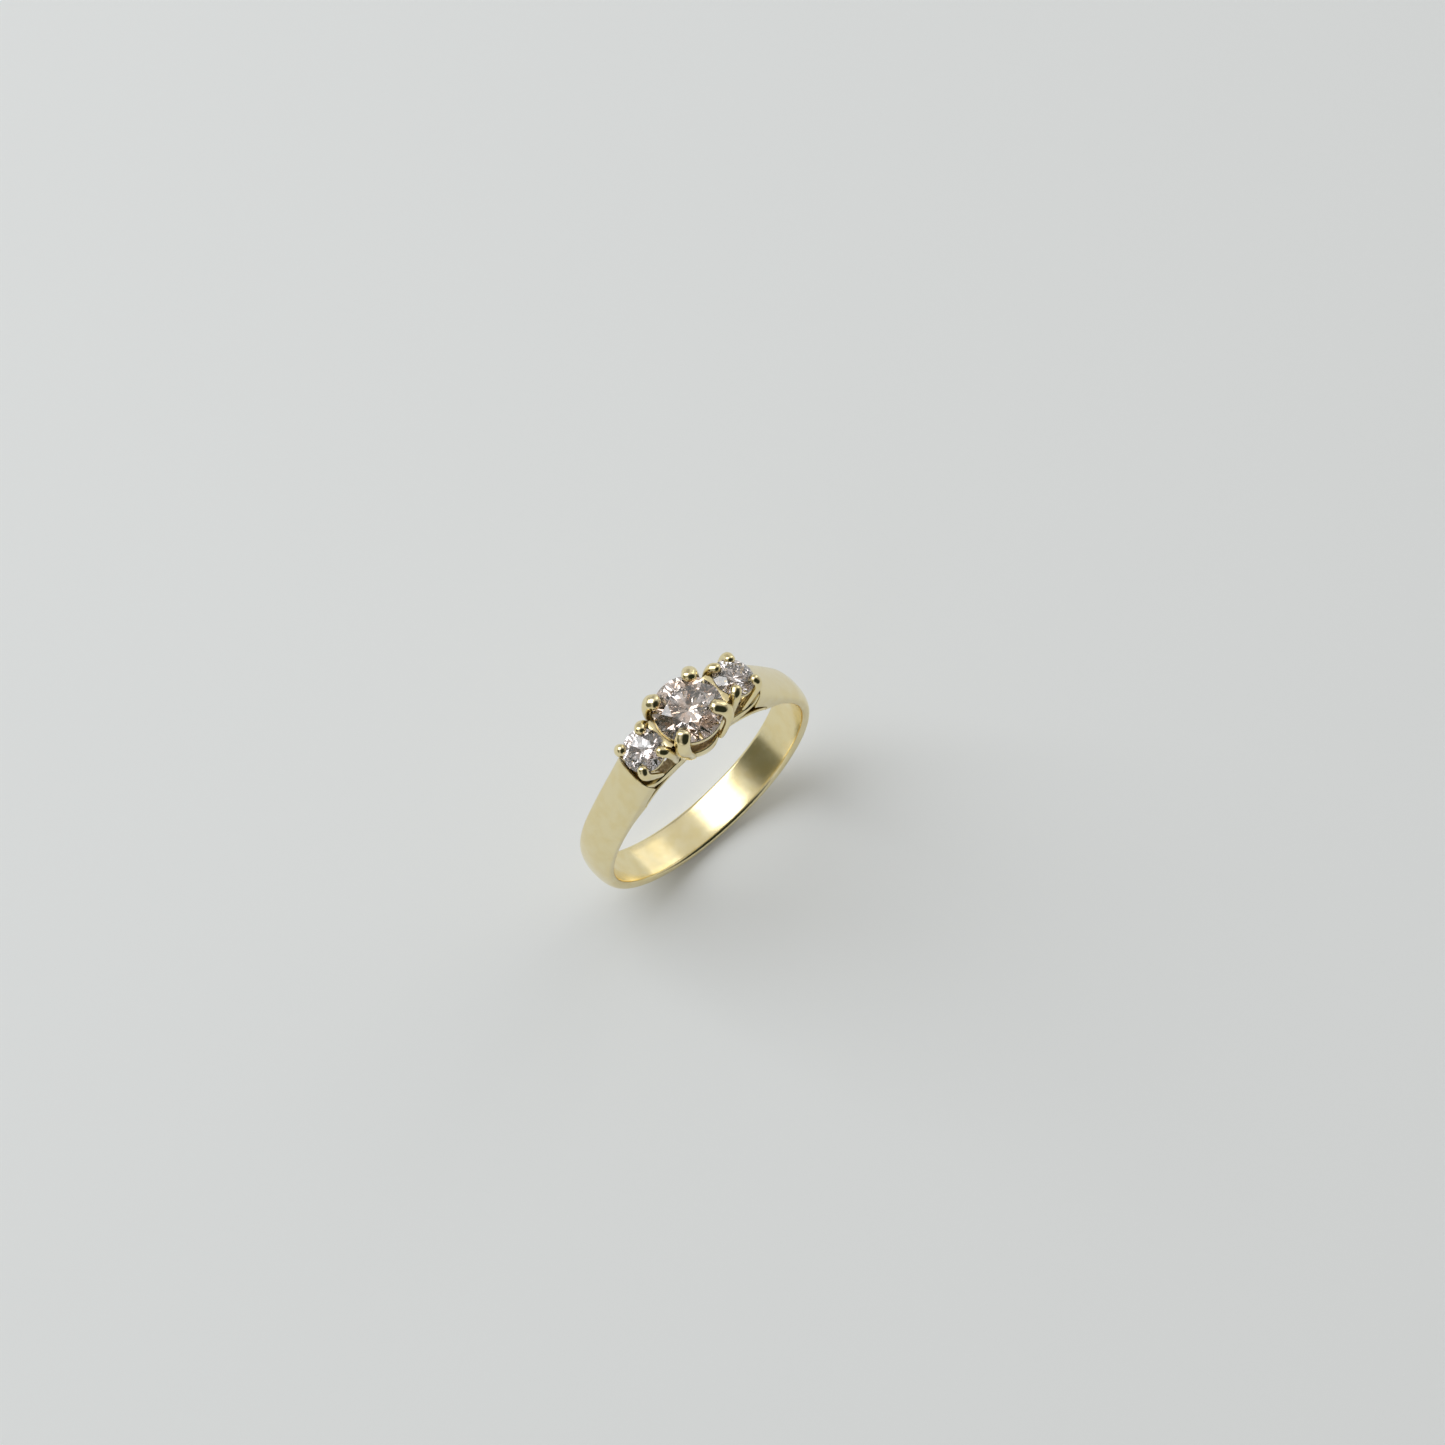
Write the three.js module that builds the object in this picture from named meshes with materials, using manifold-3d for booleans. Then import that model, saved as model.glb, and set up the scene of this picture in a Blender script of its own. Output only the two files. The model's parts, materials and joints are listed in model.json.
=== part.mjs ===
// Three-stone ring: a yellow gold band, a pierced gallery and three round brilliants in claw settings.
// Millimetres, +Z up through the centre stone, X across the stones, Y along the finger.
// The origin is under the lowest point of the band; the model is made about the finger axis and lifted.
import * as THREE from 'three';
import * as BufferGeometryUtils from 'three/addons/utils/BufferGeometryUtils.js';
import Module from 'manifold-3d';

const wasm = await Module();
wasm.setup();

const DEG = Math.PI / 180;
const SOLDER_GAP = 0.02; // between pieces that are soldered together
const SEAT_GAP = 0.03; // between a stone and the metal that holds it

// Band
const FINGER_RADIUS = 8.4;
const BAND_WIDTH = 2.93; // at the bottom
const SHOULDER_WIDTH = 3.1; // at the shoulders
const BAND_THICKNESS = 0.98; // at the crown of the dome
const RIM_THICKNESS = 0.46; // at the two sides
const INNER_BEVEL_WIDTH = 0.25;
const INNER_BEVEL_HEIGHT = 0.18;
const BAND_STEPS = 85; // odd, so that the ring stands on a flat facet
const DOME_STEPS = 11; // odd, so that the crown of the dome is a flat strip

// Shoulders: angles are measured from the top of the ring
const SHOULDER_STEPS = 4;
const SHOULDER_END_ANGLE = 27.5;
const SHOULDER_TOP_RADIUS = 11.4;
const SHOULDER_RIM_RADIUS = 9.8;
const SHOULDER_UNDERSIDE_RADIUS = 9.4;
const RAIL_SEAT_ANGLE = 38; // where the under-rail ends against the band
const RAIL_SEAT_STEP = 0.1; // angle taken up by the step that the rail butts against
const DOME_POWER = 2;
const SHOULDER_DOME_POWER = 3;

// Under-rail, which closes the finger hole below the stones
const RAIL_THICKNESS = 0.28;
const RAIL_HALF_WIDTH = 1.35;
const RAIL_END_HALF_WIDTH = 1.5;
const RAIL_FLARE_POWER = 4; // keeps the rail narrow until it nears the band
const RAIL_EDGE_BEVEL = 0.08;
const RAIL_STEPS = 20;

// Gallery: the pierced strip that carries the claws from shoulder to shoulder
const GALLERY_TOP_RADIUS = 9.55;
const GALLERY_END_TOP_RADIUS = 10.7; // its ends turn up against the shoulders
const GALLERY_END_POWER = 16;
const GALLERY_LIFT_ANGLE = 20; // where its underside leaves the under-rail
const GALLERY_HALF_WIDTH = 1.45;
const GALLERY_CENTRE_RADIUS = 2.05; // its round bulge under the centre stone
const GALLERY_REACH = 6; // half-length of its plan view, past the ends of the strip
const GALLERY_STOCK = 12; // height and width of the block it is cut from
const GALLERY_CURVE_STEPS = 10;
const CHANNEL_RIM = 0.2; // wall left on each side of the channel in the gallery's top
const CHANNEL_FLOOR_RADIUS = 9.2;
const CHANNEL_CUT_RADIUS = 11;
const CHANNEL_END_ANGLE = 23;
const HOLE_LENGTH = 5; // cutter for the open bottom of each setting
const HOLE_STEPS = 24;
const GALLERY_STEPS = 20;

// Stones: one entry for each, girdle centre in the ring's plane and outward tilt
const STONES = {
  centre: { radius: 2.35, x: 0, z: 12.4, tilt: 0, hole: 1.25, railHole: 0.9 },
  left: { radius: 1.47, x: -3.92, z: 11.6, tilt: -24, hole: 0.5, railHole: 0.4 },
  right: { radius: 1.47, x: 3.92, z: 11.6, tilt: 24, hole: 0.5, railHole: 0.4 },
};

// Round brilliant proportions, as fractions of the girdle radius
const TABLE = 0.57;
const STAR_RADIUS = 0.79;
const CROWN_HEIGHT = 0.32;
const STAR_HEIGHT = 0.178;
const GIRDLE_HALF_HEIGHT = 0.03;
const PAVILION_DEPTH = 0.87;
const LOWER_HALF_RADIUS = 0.22;
const LOWER_HALF_DEPTH = 0.68;

// Bearing rails under the girdles, as fractions of the stone's radius
const BEARING_OUTER = 1.0;
const BEARING_INNER = 0.8;
const BEARING_TOP = -0.07;
const BEARING_BOTTOM = -0.26;
const BEARING_EDGE = 0.04; // bevel on its outer edges
const BEARING_STEPS = 32;

// Claws
const CENTRE_CLAW = { halfWidth: 0.52, halfDepth: 0.42 };
const SIDE_CLAW = { halfWidth: 0.38, halfDepth: 0.33 };
const CLAW_SIDES = 10;
const CLAW_STEPS = 8;
const CLAW_TIP_STEPS = 3;
const CLAW_TIP_TURN = 80 * DEG; // how far the round tip closes before its small flat
const CLAW_FOOT_WIDTH = 1.8; // of the foot, over the leg's
const CLAW_FOOT_DEPTH = 0.75;
const CLAW_FOOT_POWER = 3; // how fast the foot narrows into the leg

// The claws were bent by hand: angle from the row of stones, extra reach over the stone, relative size
const CLAW_BENDS = {
  centre_claw_front_left: { turn: 41, lean: 0, scale: 1 },
  centre_claw_front_right: { turn: 43.5, lean: 0.3, scale: 1 },
  centre_claw_back_left: { turn: 48, lean: -0.12, scale: 1.12 },
  centre_claw_back_right: { turn: 47, lean: 0, scale: 1.03 },
  left_claw_front_inner: { turn: 50, lean: 0, scale: 1 },
  left_claw_front_outer: { turn: 50, lean: 0, scale: 1 },
  left_claw_back_inner: { turn: 50, lean: 0, scale: 1.08 },
  left_claw_back_outer: { turn: 46, lean: -0.08, scale: 1.08 },
  right_claw_front_inner: { turn: 50, lean: 0, scale: 1 },
  right_claw_front_outer: { turn: 50, lean: 0, scale: 1 },
  right_claw_back_inner: { turn: 50, lean: 0, scale: 1 },
  right_claw_back_outer: { turn: 66, lean: 0.15, scale: 1 },
};

// Saddles: bars between the front and back claws where two settings meet
const SADDLE_X = 2.47;
const SADDLE_HALF_LENGTH = 1.2;
const SADDLE_TOP = 12.05;
const SADDLE_HALF_WIDTH = 0.3;
const SADDLE_HEIGHT = 0.62;
const SADDLE_BEVEL = 0.08;

// Claw centre lines in their stone's frame: distance from the stone's axis, height above the girdle
const CENTRE_ROUTE = [[1.95, -3.62], [2.36, -2.0], [2.64, -0.8], [2.62, -0.05], [2.44, 0.4], [2.12, 0.6]];
const INNER_ROUTE = [[1.3, -3.1], [1.5, -1.8], [1.66, -0.8], [1.68, -0.05], [1.56, 0.26], [1.34, 0.4]];
const OUTER_ROUTE = [[1.3, -2.65], [1.5, -1.6], [1.64, -0.7], [1.68, -0.05], [1.56, 0.26], [1.34, 0.4]];

const GOLD = { color: 0xc9bb82, roughness: 0.28, metalness: 1 };
const CHAMPAGNE = { color: 0xbfa899, roughness: 0.02, metalness: 0 };
const WHITE_STONE = { color: 0xc4bcb8, roughness: 0.02, metalness: 0 };

const ring = new THREE.Group();

// A point in the ring's plane at an angle from the top, turning towards +X
function polar(angle, radius, y = 0) {
  return new THREE.Vector3(radius * Math.sin(angle * DEG), y, radius * Math.cos(angle * DEG));
}

function mix(a, b, t) {
  return a + (b - a) * t;
}

// Closed solid through rings of points that all have the same count, with a fan on each end
function loft(sections) {
  const count = sections[0].length;
  const positions = sections.flat().flatMap((p) => [p.x, p.y, p.z]);
  const indices = [];
  for (let s = 0; s < sections.length - 1; s++) {
    for (let i = 0; i < count; i++) {
      const a = s * count + i;
      const b = s * count + ((i + 1) % count);
      indices.push(a, b, b + count, a, b + count, a + count);
    }
  }
  const last = (sections.length - 1) * count;
  for (let i = 1; i < count - 1; i++) {
    indices.push(0, i + 1, i);
    indices.push(last, last + i, last + i + 1);
  }
  const geometry = new THREE.BufferGeometry();
  geometry.setAttribute('position', new THREE.Float32BufferAttribute(positions, 3));
  geometry.setIndex(indices);
  return geometry;
}

function toSolid(geometry) {
  const bare = geometry.clone();
  bare.deleteAttribute('normal');
  bare.deleteAttribute('uv');
  const merged = BufferGeometryUtils.mergeVertices(bare, 1e-4);
  const mesh = new wasm.Mesh({
    numProp: 3,
    vertProperties: new Float32Array(merged.attributes.position.array),
    triVerts: new Uint32Array(merged.index.array),
  });
  return new wasm.Manifold(mesh);
}

function toGeometry(solid) {
  const mesh = solid.getMesh();
  const geometry = new THREE.BufferGeometry();
  geometry.setAttribute('position', new THREE.BufferAttribute(mesh.vertProperties, 3));
  geometry.setIndex(new THREE.BufferAttribute(mesh.triVerts, 1));
  return geometry;
}

function addPart(name, geometry, finish) {
  const part = new THREE.Mesh(geometry, new THREE.MeshStandardMaterial(finish));
  part.name = name;
  ring.add(part);
  return part;
}

function cut(base, ...tools) {
  return tools.reduce((solid, tool) => solid.subtract(tool), base);
}

// ---- Band ----

// Cross-section of the band at an angle from the top: inner face, bevels, rims and domed outer face
function bandSection(angle, grow = 0) {
  const fromTop = Math.abs(angle);
  const crownRadius = FINGER_RADIUS + BAND_THICKNESS;
  const rise = Math.acos(crownRadius / SHOULDER_TOP_RADIUS) / DEG;
  const riseStart = SHOULDER_END_ANGLE + rise;
  const rising = Math.max(0, riseStart - fromTop);
  const crown = crownRadius / Math.cos(rising * DEG) + grow;
  const t = rising / rise;
  const rim = mix(FINGER_RADIUS + RIM_THICKNESS, SHOULDER_RIM_RADIUS, t ** 2);
  const power = mix(DOME_POWER, SHOULDER_DOME_POWER, t);
  const widen = (1 + Math.cos(angle * DEG)) / 2;
  const halfWidth = mix(BAND_WIDTH, SHOULDER_WIDTH, widen) / 2 + grow;

  let inner = FINGER_RADIUS;
  let bevelWidth = INNER_BEVEL_WIDTH;
  let bevelHeight = INNER_BEVEL_HEIGHT;
  if (fromTop < RAIL_SEAT_ANGLE) {
    const lift = (RAIL_SEAT_ANGLE - fromTop) / (RAIL_SEAT_ANGLE - SHOULDER_END_ANGLE);
    inner = mix(FINGER_RADIUS + RAIL_THICKNESS + SOLDER_GAP, SHOULDER_UNDERSIDE_RADIUS, lift);
    bevelWidth = RAIL_EDGE_BEVEL;
    bevelHeight = RAIL_EDGE_BEVEL;
  }

  const points = [
    polar(angle, inner + bevelHeight, -halfWidth),
    polar(angle, inner, -halfWidth + bevelWidth),
    polar(angle, inner, halfWidth - bevelWidth),
    polar(angle, inner + bevelHeight, halfWidth),
  ];
  for (let i = 0; i <= DOME_STEPS; i++) {
    const turn = (Math.PI * i) / DOME_STEPS;
    const across = Math.sign(Math.cos(turn)) * Math.abs(Math.cos(turn)) ** (2 / power);
    const up = Math.abs(Math.sin(turn)) ** (2 / power);
    points.push(polar(angle, mix(rim, crown, up), halfWidth * across));
  }
  return points;
}

// The band runs from one shoulder round the bottom to the other, with a step for the rail's end
function bandGeometry(grow = 0) {
  const shoulder = [];
  const seat = RAIL_SEAT_ANGLE - RAIL_SEAT_STEP;
  for (let i = 0; i < SHOULDER_STEPS; i++) {
    shoulder.push(mix(SHOULDER_END_ANGLE, seat, i / (SHOULDER_STEPS - 1)));
  }
  const angles = [...shoulder];
  const stepSize = (360 - 2 * RAIL_SEAT_ANGLE) / BAND_STEPS;
  for (let i = 0; i <= BAND_STEPS; i++) {
    angles.push(RAIL_SEAT_ANGLE + i * stepSize);
  }
  angles.push(...shoulder.reverse().map((angle) => 360 - angle));
  const sections = angles.map((angle) => {
    const signed = angle > 180 ? angle - 360 : angle;
    return bandSection(signed, grow);
  });
  return loft(sections);
}

// ---- Under-rail ----

function railSection(angle, grow = 0) {
  const inner = FINGER_RADIUS - grow;
  const outer = FINGER_RADIUS + RAIL_THICKNESS + grow;
  const flare = (Math.abs(angle) / RAIL_SEAT_ANGLE) ** RAIL_FLARE_POWER;
  const half = mix(RAIL_HALF_WIDTH, RAIL_END_HALF_WIDTH, flare) + grow;
  const bevel = RAIL_EDGE_BEVEL;
  return [
    polar(angle, inner + bevel, -half),
    polar(angle, inner, -half + bevel),
    polar(angle, inner, half - bevel),
    polar(angle, inner + bevel, half),
    polar(angle, outer - bevel, half),
    polar(angle, outer, half - bevel),
    polar(angle, outer, -half + bevel),
    polar(angle, outer - bevel, -half),
  ];
}

function railGeometry(grow = 0) {
  const endGap = (SOLDER_GAP - grow) / FINGER_RADIUS / DEG;
  const end = RAIL_SEAT_ANGLE - endGap;
  const sections = [];
  for (let i = 0; i <= RAIL_STEPS; i++) {
    sections.push(railSection(mix(-end, end, i / RAIL_STEPS), grow));
  }
  return loft(sections);
}

// ---- Stones ----

// Girdle centre and tilt of a stone, as the transform of everything in its setting
function stoneFrame(stone) {
  const frame = new THREE.Object3D();
  frame.position.set(stone.x, 0, stone.z);
  frame.rotation.y = stone.tilt * DEG;
  frame.updateMatrix();
  return frame.matrix;
}

function ringPoint(radius, turn, z) {
  return [radius * Math.cos(turn), radius * Math.sin(turn), z];
}

// Round brilliant: table, 8 stars, 8 kites, 16 upper halves, girdle, 16 lower halves, 8 mains
function brilliantGeometry(radius) {
  const FOLD = 8;
  const eighth = (2 * Math.PI) / FOLD;
  const vertices = [];
  const add = (r, turn, z) => vertices.push(ringPoint(r * radius, turn, z * radius)) - 1;
  const crownTop = GIRDLE_HALF_HEIGHT + CROWN_HEIGHT;
  const starTop = GIRDLE_HALF_HEIGHT + STAR_HEIGHT;
  const tableRing = [];
  const starRing = [];
  const upperGirdle = [];
  const lowerGirdle = [];
  const halfRing = [];
  for (let i = 0; i < FOLD; i++) {
    tableRing.push(add(TABLE, i * eighth, crownTop));
    starRing.push(add(STAR_RADIUS, (i + 0.5) * eighth, starTop));
    halfRing.push(add(LOWER_HALF_RADIUS, (i + 0.5) * eighth, -GIRDLE_HALF_HEIGHT - LOWER_HALF_DEPTH));
  }
  for (let i = 0; i < 2 * FOLD; i++) {
    upperGirdle.push(add(1, (i * eighth) / 2, GIRDLE_HALF_HEIGHT));
    lowerGirdle.push(add(1, (i * eighth) / 2, -GIRDLE_HALF_HEIGHT));
  }
  const tableCentre = add(0, 0, crownTop);
  const culet = add(0, 0, -GIRDLE_HALF_HEIGHT - PAVILION_DEPTH);
  const faces = [];
  for (let i = 0; i < FOLD; i++) {
    const next = (i + 1) % FOLD;
    const before = (i + FOLD - 1) % FOLD;
    const main = 2 * i;
    const between = 2 * i + 1;
    const mainNext = (2 * i + 2) % (2 * FOLD);
    faces.push([tableCentre, tableRing[i], tableRing[next]]);
    faces.push([tableRing[i], starRing[i], tableRing[next]]);
    faces.push([tableRing[i], starRing[before], upperGirdle[main]]);
    faces.push([tableRing[i], upperGirdle[main], starRing[i]]);
    faces.push([starRing[i], upperGirdle[main], upperGirdle[between]]);
    faces.push([starRing[i], upperGirdle[between], upperGirdle[mainNext]]);
    faces.push([halfRing[i], lowerGirdle[between], lowerGirdle[main]]);
    faces.push([halfRing[i], lowerGirdle[mainNext], lowerGirdle[between]]);
    faces.push([culet, halfRing[i], lowerGirdle[main]]);
    faces.push([culet, lowerGirdle[main], halfRing[before]]);
  }
  for (let i = 0; i < 2 * FOLD; i++) {
    const next = (i + 1) % (2 * FOLD);
    faces.push([upperGirdle[i], lowerGirdle[i], lowerGirdle[next]]);
    faces.push([upperGirdle[i], lowerGirdle[next], upperGirdle[next]]);
  }
  const geometry = new THREE.BufferGeometry();
  geometry.setAttribute('position', new THREE.Float32BufferAttribute(vertices.flat(), 3));
  geometry.setIndex(faces.flat());
  return geometry;
}

// ---- Bearing rails ----

// A wire ring under the girdle whose top inner edge is cut to the slope of the pavilion
function bearingGeometry(radius, grow = 0) {
  const outer = BEARING_OUTER * radius + grow;
  const inner = BEARING_INNER * radius - grow;
  const edge = BEARING_EDGE * radius;
  const bottom = BEARING_BOTTOM * radius - grow;
  const girdle = -GIRDLE_HALF_HEIGHT * radius;
  const seatAt = (r) => {
    const pavilion = girdle - PAVILION_DEPTH * (radius - r) - SEAT_GAP;
    return Math.min(BEARING_TOP * radius, pavilion) + grow;
  };
  const shoulder = outer - edge;
  const profile = [
    new THREE.Vector2(outer, bottom + edge),
    new THREE.Vector2(outer, seatAt(shoulder) - edge),
    new THREE.Vector2(shoulder, seatAt(shoulder)),
    new THREE.Vector2(inner, seatAt(inner)),
    new THREE.Vector2(inner, bottom),
    new THREE.Vector2(outer - edge, bottom),
    new THREE.Vector2(outer, bottom + edge),
  ];
  return new THREE.LatheGeometry(profile, BEARING_STEPS).rotateX(Math.PI / 2);
}

// ---- Gallery ----

// Front view of the gallery, extruded across and trimmed to its plan view
function galleryShape(grow = 0) {
  const under = FINGER_RADIUS + RAIL_THICKNESS + SOLDER_GAP - grow;
  const outline = [];
  const end = SHOULDER_END_ANGLE - (SOLDER_GAP - grow) / SHOULDER_UNDERSIDE_RADIUS / DEG;
  outline.push(polar(-end, SHOULDER_UNDERSIDE_RADIUS - grow));
  for (let i = 0; i <= GALLERY_STEPS; i++) {
    outline.push(polar(mix(-GALLERY_LIFT_ANGLE, GALLERY_LIFT_ANGLE, i / GALLERY_STEPS), under));
  }
  outline.push(polar(end, SHOULDER_UNDERSIDE_RADIUS - grow));
  for (let i = 0; i <= GALLERY_STEPS; i++) {
    const angle = mix(end, -end, i / GALLERY_STEPS);
    const t = (Math.abs(angle) / end) ** GALLERY_END_POWER;
    outline.push(polar(angle, mix(GALLERY_TOP_RADIUS, GALLERY_END_TOP_RADIUS, t) + grow));
  }
  return new THREE.Shape(outline.map((p) => new THREE.Vector2(p.x, p.z)));
}

function galleryPlan(grow = 0) {
  const half = GALLERY_HALF_WIDTH + grow;
  const bulge = GALLERY_CENTRE_RADIUS + grow;
  const meet = Math.asin(half / bulge);
  const plan = new THREE.Shape();
  plan.moveTo(GALLERY_REACH, -half);
  plan.lineTo(GALLERY_REACH, half);
  plan.absarc(0, 0, bulge, meet, Math.PI - meet, false);
  plan.lineTo(-GALLERY_REACH, half);
  plan.lineTo(-GALLERY_REACH, -half);
  plan.absarc(0, 0, bulge, Math.PI + meet, 2 * Math.PI - meet, false);
  plan.lineTo(GALLERY_REACH, -half);
  return plan;
}

// Solid with a given front view and plan view
function stripSolid(frontShape, planShape) {
  const block = { depth: GALLERY_STOCK, bevelEnabled: false, curveSegments: GALLERY_CURVE_STEPS };
  const front = new THREE.ExtrudeGeometry(frontShape, block);
  front.translate(0, 0, -GALLERY_STOCK / 2);
  front.rotateX(Math.PI / 2);
  const plan = new THREE.ExtrudeGeometry(planShape, block);
  return toSolid(front).intersect(toSolid(plan));
}

function gallerySolid(grow = 0) {
  return stripSolid(galleryShape(grow), galleryPlan(grow));
}

// Channel along the gallery's top, inside a narrow rim
function channelSolid() {
  const outline = [];
  for (let i = 0; i <= GALLERY_STEPS; i++) {
    const angle = mix(-CHANNEL_END_ANGLE, CHANNEL_END_ANGLE, i / GALLERY_STEPS);
    outline.push(polar(angle, CHANNEL_FLOOR_RADIUS));
  }
  outline.push(polar(CHANNEL_END_ANGLE, CHANNEL_CUT_RADIUS));
  outline.push(polar(-CHANNEL_END_ANGLE, CHANNEL_CUT_RADIUS));
  const front = new THREE.Shape(outline.map((p) => new THREE.Vector2(p.x, p.z)));
  return stripSolid(front, galleryPlan(-CHANNEL_RIM));
}

// Round hole below a stone, along the stone's axis, from the middle of its pavilion down
function holeCutter(stone, radius) {
  const hole = new THREE.CylinderGeometry(radius, radius, HOLE_LENGTH, HOLE_STEPS).rotateX(Math.PI / 2);
  hole.translate(0, 0, -HOLE_LENGTH / 2 - (PAVILION_DEPTH * stone.radius) / 2);
  return toSolid(hole.applyMatrix4(stoneFrame(stone)));
}

// ---- Claws ----

// Elliptical section of a claw, square to its centre line
function clawSection(centre, tangent, side, width, depth) {
  const across = side.clone().addScaledVector(tangent, -side.dot(tangent)).normalize();
  const outward = new THREE.Vector3().crossVectors(across, tangent);
  const points = [];
  for (let i = 0; i < CLAW_SIDES; i++) {
    const turn = (2 * Math.PI * (i + 0.5)) / CLAW_SIDES;
    const point = centre.clone();
    point.addScaledVector(outward, depth * Math.cos(turn));
    point.addScaledVector(across, width * Math.sin(turn));
    points.push(point);
  }
  return points;
}

// Tapered claw from its foot to a round tip; side is the level direction across it
function clawGeometry(path, side, size, grow = 0) {
  const curve = new THREE.CatmullRomCurve3(path, false, 'centripetal');
  const sections = [];
  for (let i = 0; i <= CLAW_STEPS; i++) {
    const t = i / CLAW_STEPS;
    const foot = (1 - t) ** CLAW_FOOT_POWER;
    const width = size.halfWidth * mix(1, CLAW_FOOT_WIDTH, foot) + grow;
    const depth = size.halfDepth * mix(1, CLAW_FOOT_DEPTH, foot) + grow;
    sections.push(clawSection(curve.getPoint(t), curve.getTangent(t), side, width, depth));
  }
  const tip = curve.getPoint(1);
  const direction = curve.getTangent(1);
  for (let i = 1; i <= CLAW_TIP_STEPS; i++) {
    const turn = (CLAW_TIP_TURN * i) / CLAW_TIP_STEPS;
    const centre = tip.clone().addScaledVector(direction, (size.halfDepth + grow) * Math.sin(turn));
    const width = (size.halfWidth + grow) * Math.cos(turn);
    const depth = (size.halfDepth + grow) * Math.cos(turn);
    sections.push(clawSection(centre, direction, side, width, depth));
  }
  return loft(sections);
}

// Claw of one stone at a corner: inwards or outwards along the ring (along), front or back (across)
function stoneClaw(stone, route, size, bend, along, across, grow = 0) {
  const frame = stoneFrame(stone);
  const reach = { x: Math.cos(bend.turn * DEG), y: Math.sin(bend.turn * DEG) };
  const path = route.map(([r, z], i) => {
    const out = r - bend.lean * (i / (route.length - 1)) ** CLAW_FOOT_POWER;
    return new THREE.Vector3(along * out * reach.x, across * out * reach.y, z).applyMatrix4(frame);
  });
  const side = new THREE.Vector3(-across * reach.y, along * reach.x, 0).transformDirection(frame);
  const scaled = { halfWidth: size.halfWidth * bend.scale, halfDepth: size.halfDepth * bend.scale };
  return clawGeometry(path, side, scaled, grow);
}

// ---- Saddles ----

// Bevelled bar along Y at one side of the centre stone
function saddleGeometry(side) {
  const half = SADDLE_HALF_WIDTH;
  const outline = new THREE.Shape();
  outline.moveTo(-half, -SADDLE_HEIGHT);
  outline.lineTo(half, -SADDLE_HEIGHT);
  outline.lineTo(half, -SADDLE_BEVEL);
  outline.lineTo(half - SADDLE_BEVEL, 0);
  outline.lineTo(-half + SADDLE_BEVEL, 0);
  outline.lineTo(-half, -SADDLE_BEVEL);
  outline.lineTo(-half, -SADDLE_HEIGHT);
  const bar = new THREE.ExtrudeGeometry(outline, { depth: 2 * SADDLE_HALF_LENGTH, bevelEnabled: false });
  bar.translate(0, 0, -SADDLE_HALF_LENGTH);
  bar.rotateX(Math.PI / 2);
  return bar.translate(side * SADDLE_X, 0, SADDLE_TOP);
}

// ---- Assembly ----

const shankCutter = toSolid(bandGeometry(SOLDER_GAP));
const shank = addPart('shank', bandGeometry(), GOLD);
shank.geometry.computeBoundingBox();
ring.position.z = -shank.geometry.boundingBox.min.z;

const holes = Object.values(STONES).map((stone) => holeCutter(stone, stone.hole));
const railHoles = Object.values(STONES).map((stone) => holeCutter(stone, stone.railHole));
addPart('under_rail', toGeometry(cut(toSolid(railGeometry()), ...railHoles)), GOLD);
addPart('gallery', toGeometry(cut(gallerySolid(), channelSolid(), ...holes)), GOLD);
const galleryCutter = gallerySolid(SOLDER_GAP);

const stoneCutters = {};
const bearingCutters = {};
for (const [name, stone] of Object.entries(STONES)) {
  const frame = stoneFrame(stone);
  const finish = name === 'centre' ? CHAMPAGNE : WHITE_STONE;
  addPart(`${name}_diamond`, brilliantGeometry(stone.radius).applyMatrix4(frame), finish);
  addPart(`${name}_bearing_rail`, bearingGeometry(stone.radius).applyMatrix4(frame), GOLD);
  stoneCutters[name] = toSolid(brilliantGeometry(stone.radius + SEAT_GAP).applyMatrix4(frame));
  bearingCutters[name] = toSolid(bearingGeometry(stone.radius, SOLDER_GAP).applyMatrix4(frame));
}

const centreClawCutters = [];
for (const [depthName, across] of [['front', -1], ['back', 1]]) {
  for (const [sideName, along] of [['left', -1], ['right', 1]]) {
    const name = `centre_claw_${depthName}_${sideName}`;
    const bend = CLAW_BENDS[name];
    const claw = toSolid(stoneClaw(STONES.centre, CENTRE_ROUTE, CENTRE_CLAW, bend, along, across));
    const solid = cut(claw, stoneCutters.centre, bearingCutters.centre, galleryCutter);
    addPart(name, toGeometry(solid), GOLD);
    const wide = stoneClaw(STONES.centre, CENTRE_ROUTE, CENTRE_CLAW, bend, along, across, SOLDER_GAP);
    centreClawCutters.push(toSolid(wide));
  }
}

for (const side of ['left', 'right']) {
  const stone = STONES[side];
  const outwards = Math.sign(stone.x);
  const innerClawCutters = [];
  for (const [depthName, across] of [['front', -1], ['back', 1]]) {
    for (const [endName, along] of [['inner', -outwards], ['outer', outwards]]) {
      const name = `${side}_claw_${depthName}_${endName}`;
      const bend = CLAW_BENDS[name];
      const route = endName === 'inner' ? INNER_ROUTE : OUTER_ROUTE;
      const claw = toSolid(stoneClaw(stone, route, SIDE_CLAW, bend, along, across));
      const seats = cut(claw, stoneCutters[side], bearingCutters[side], galleryCutter);
      const neighbours = endName === 'inner' ? centreClawCutters : [shankCutter];
      addPart(name, toGeometry(cut(seats, ...neighbours)), GOLD);
      if (endName === 'inner') {
        const wide = stoneClaw(stone, route, SIDE_CLAW, bend, along, across, SOLDER_GAP);
        innerClawCutters.push(toSolid(wide));
      }
    }
  }
  const settings = [stoneCutters[side], stoneCutters.centre, bearingCutters[side], bearingCutters.centre];
  const claws = [...centreClawCutters, ...innerClawCutters];
  const saddle = cut(toSolid(saddleGeometry(outwards)), ...settings, ...claws);
  addPart(`${side}_saddle`, toGeometry(saddle), GOLD);
}

export default ring;
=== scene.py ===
import json
import math

import bmesh
import bpy
from mathutils import Matrix, Vector


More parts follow.
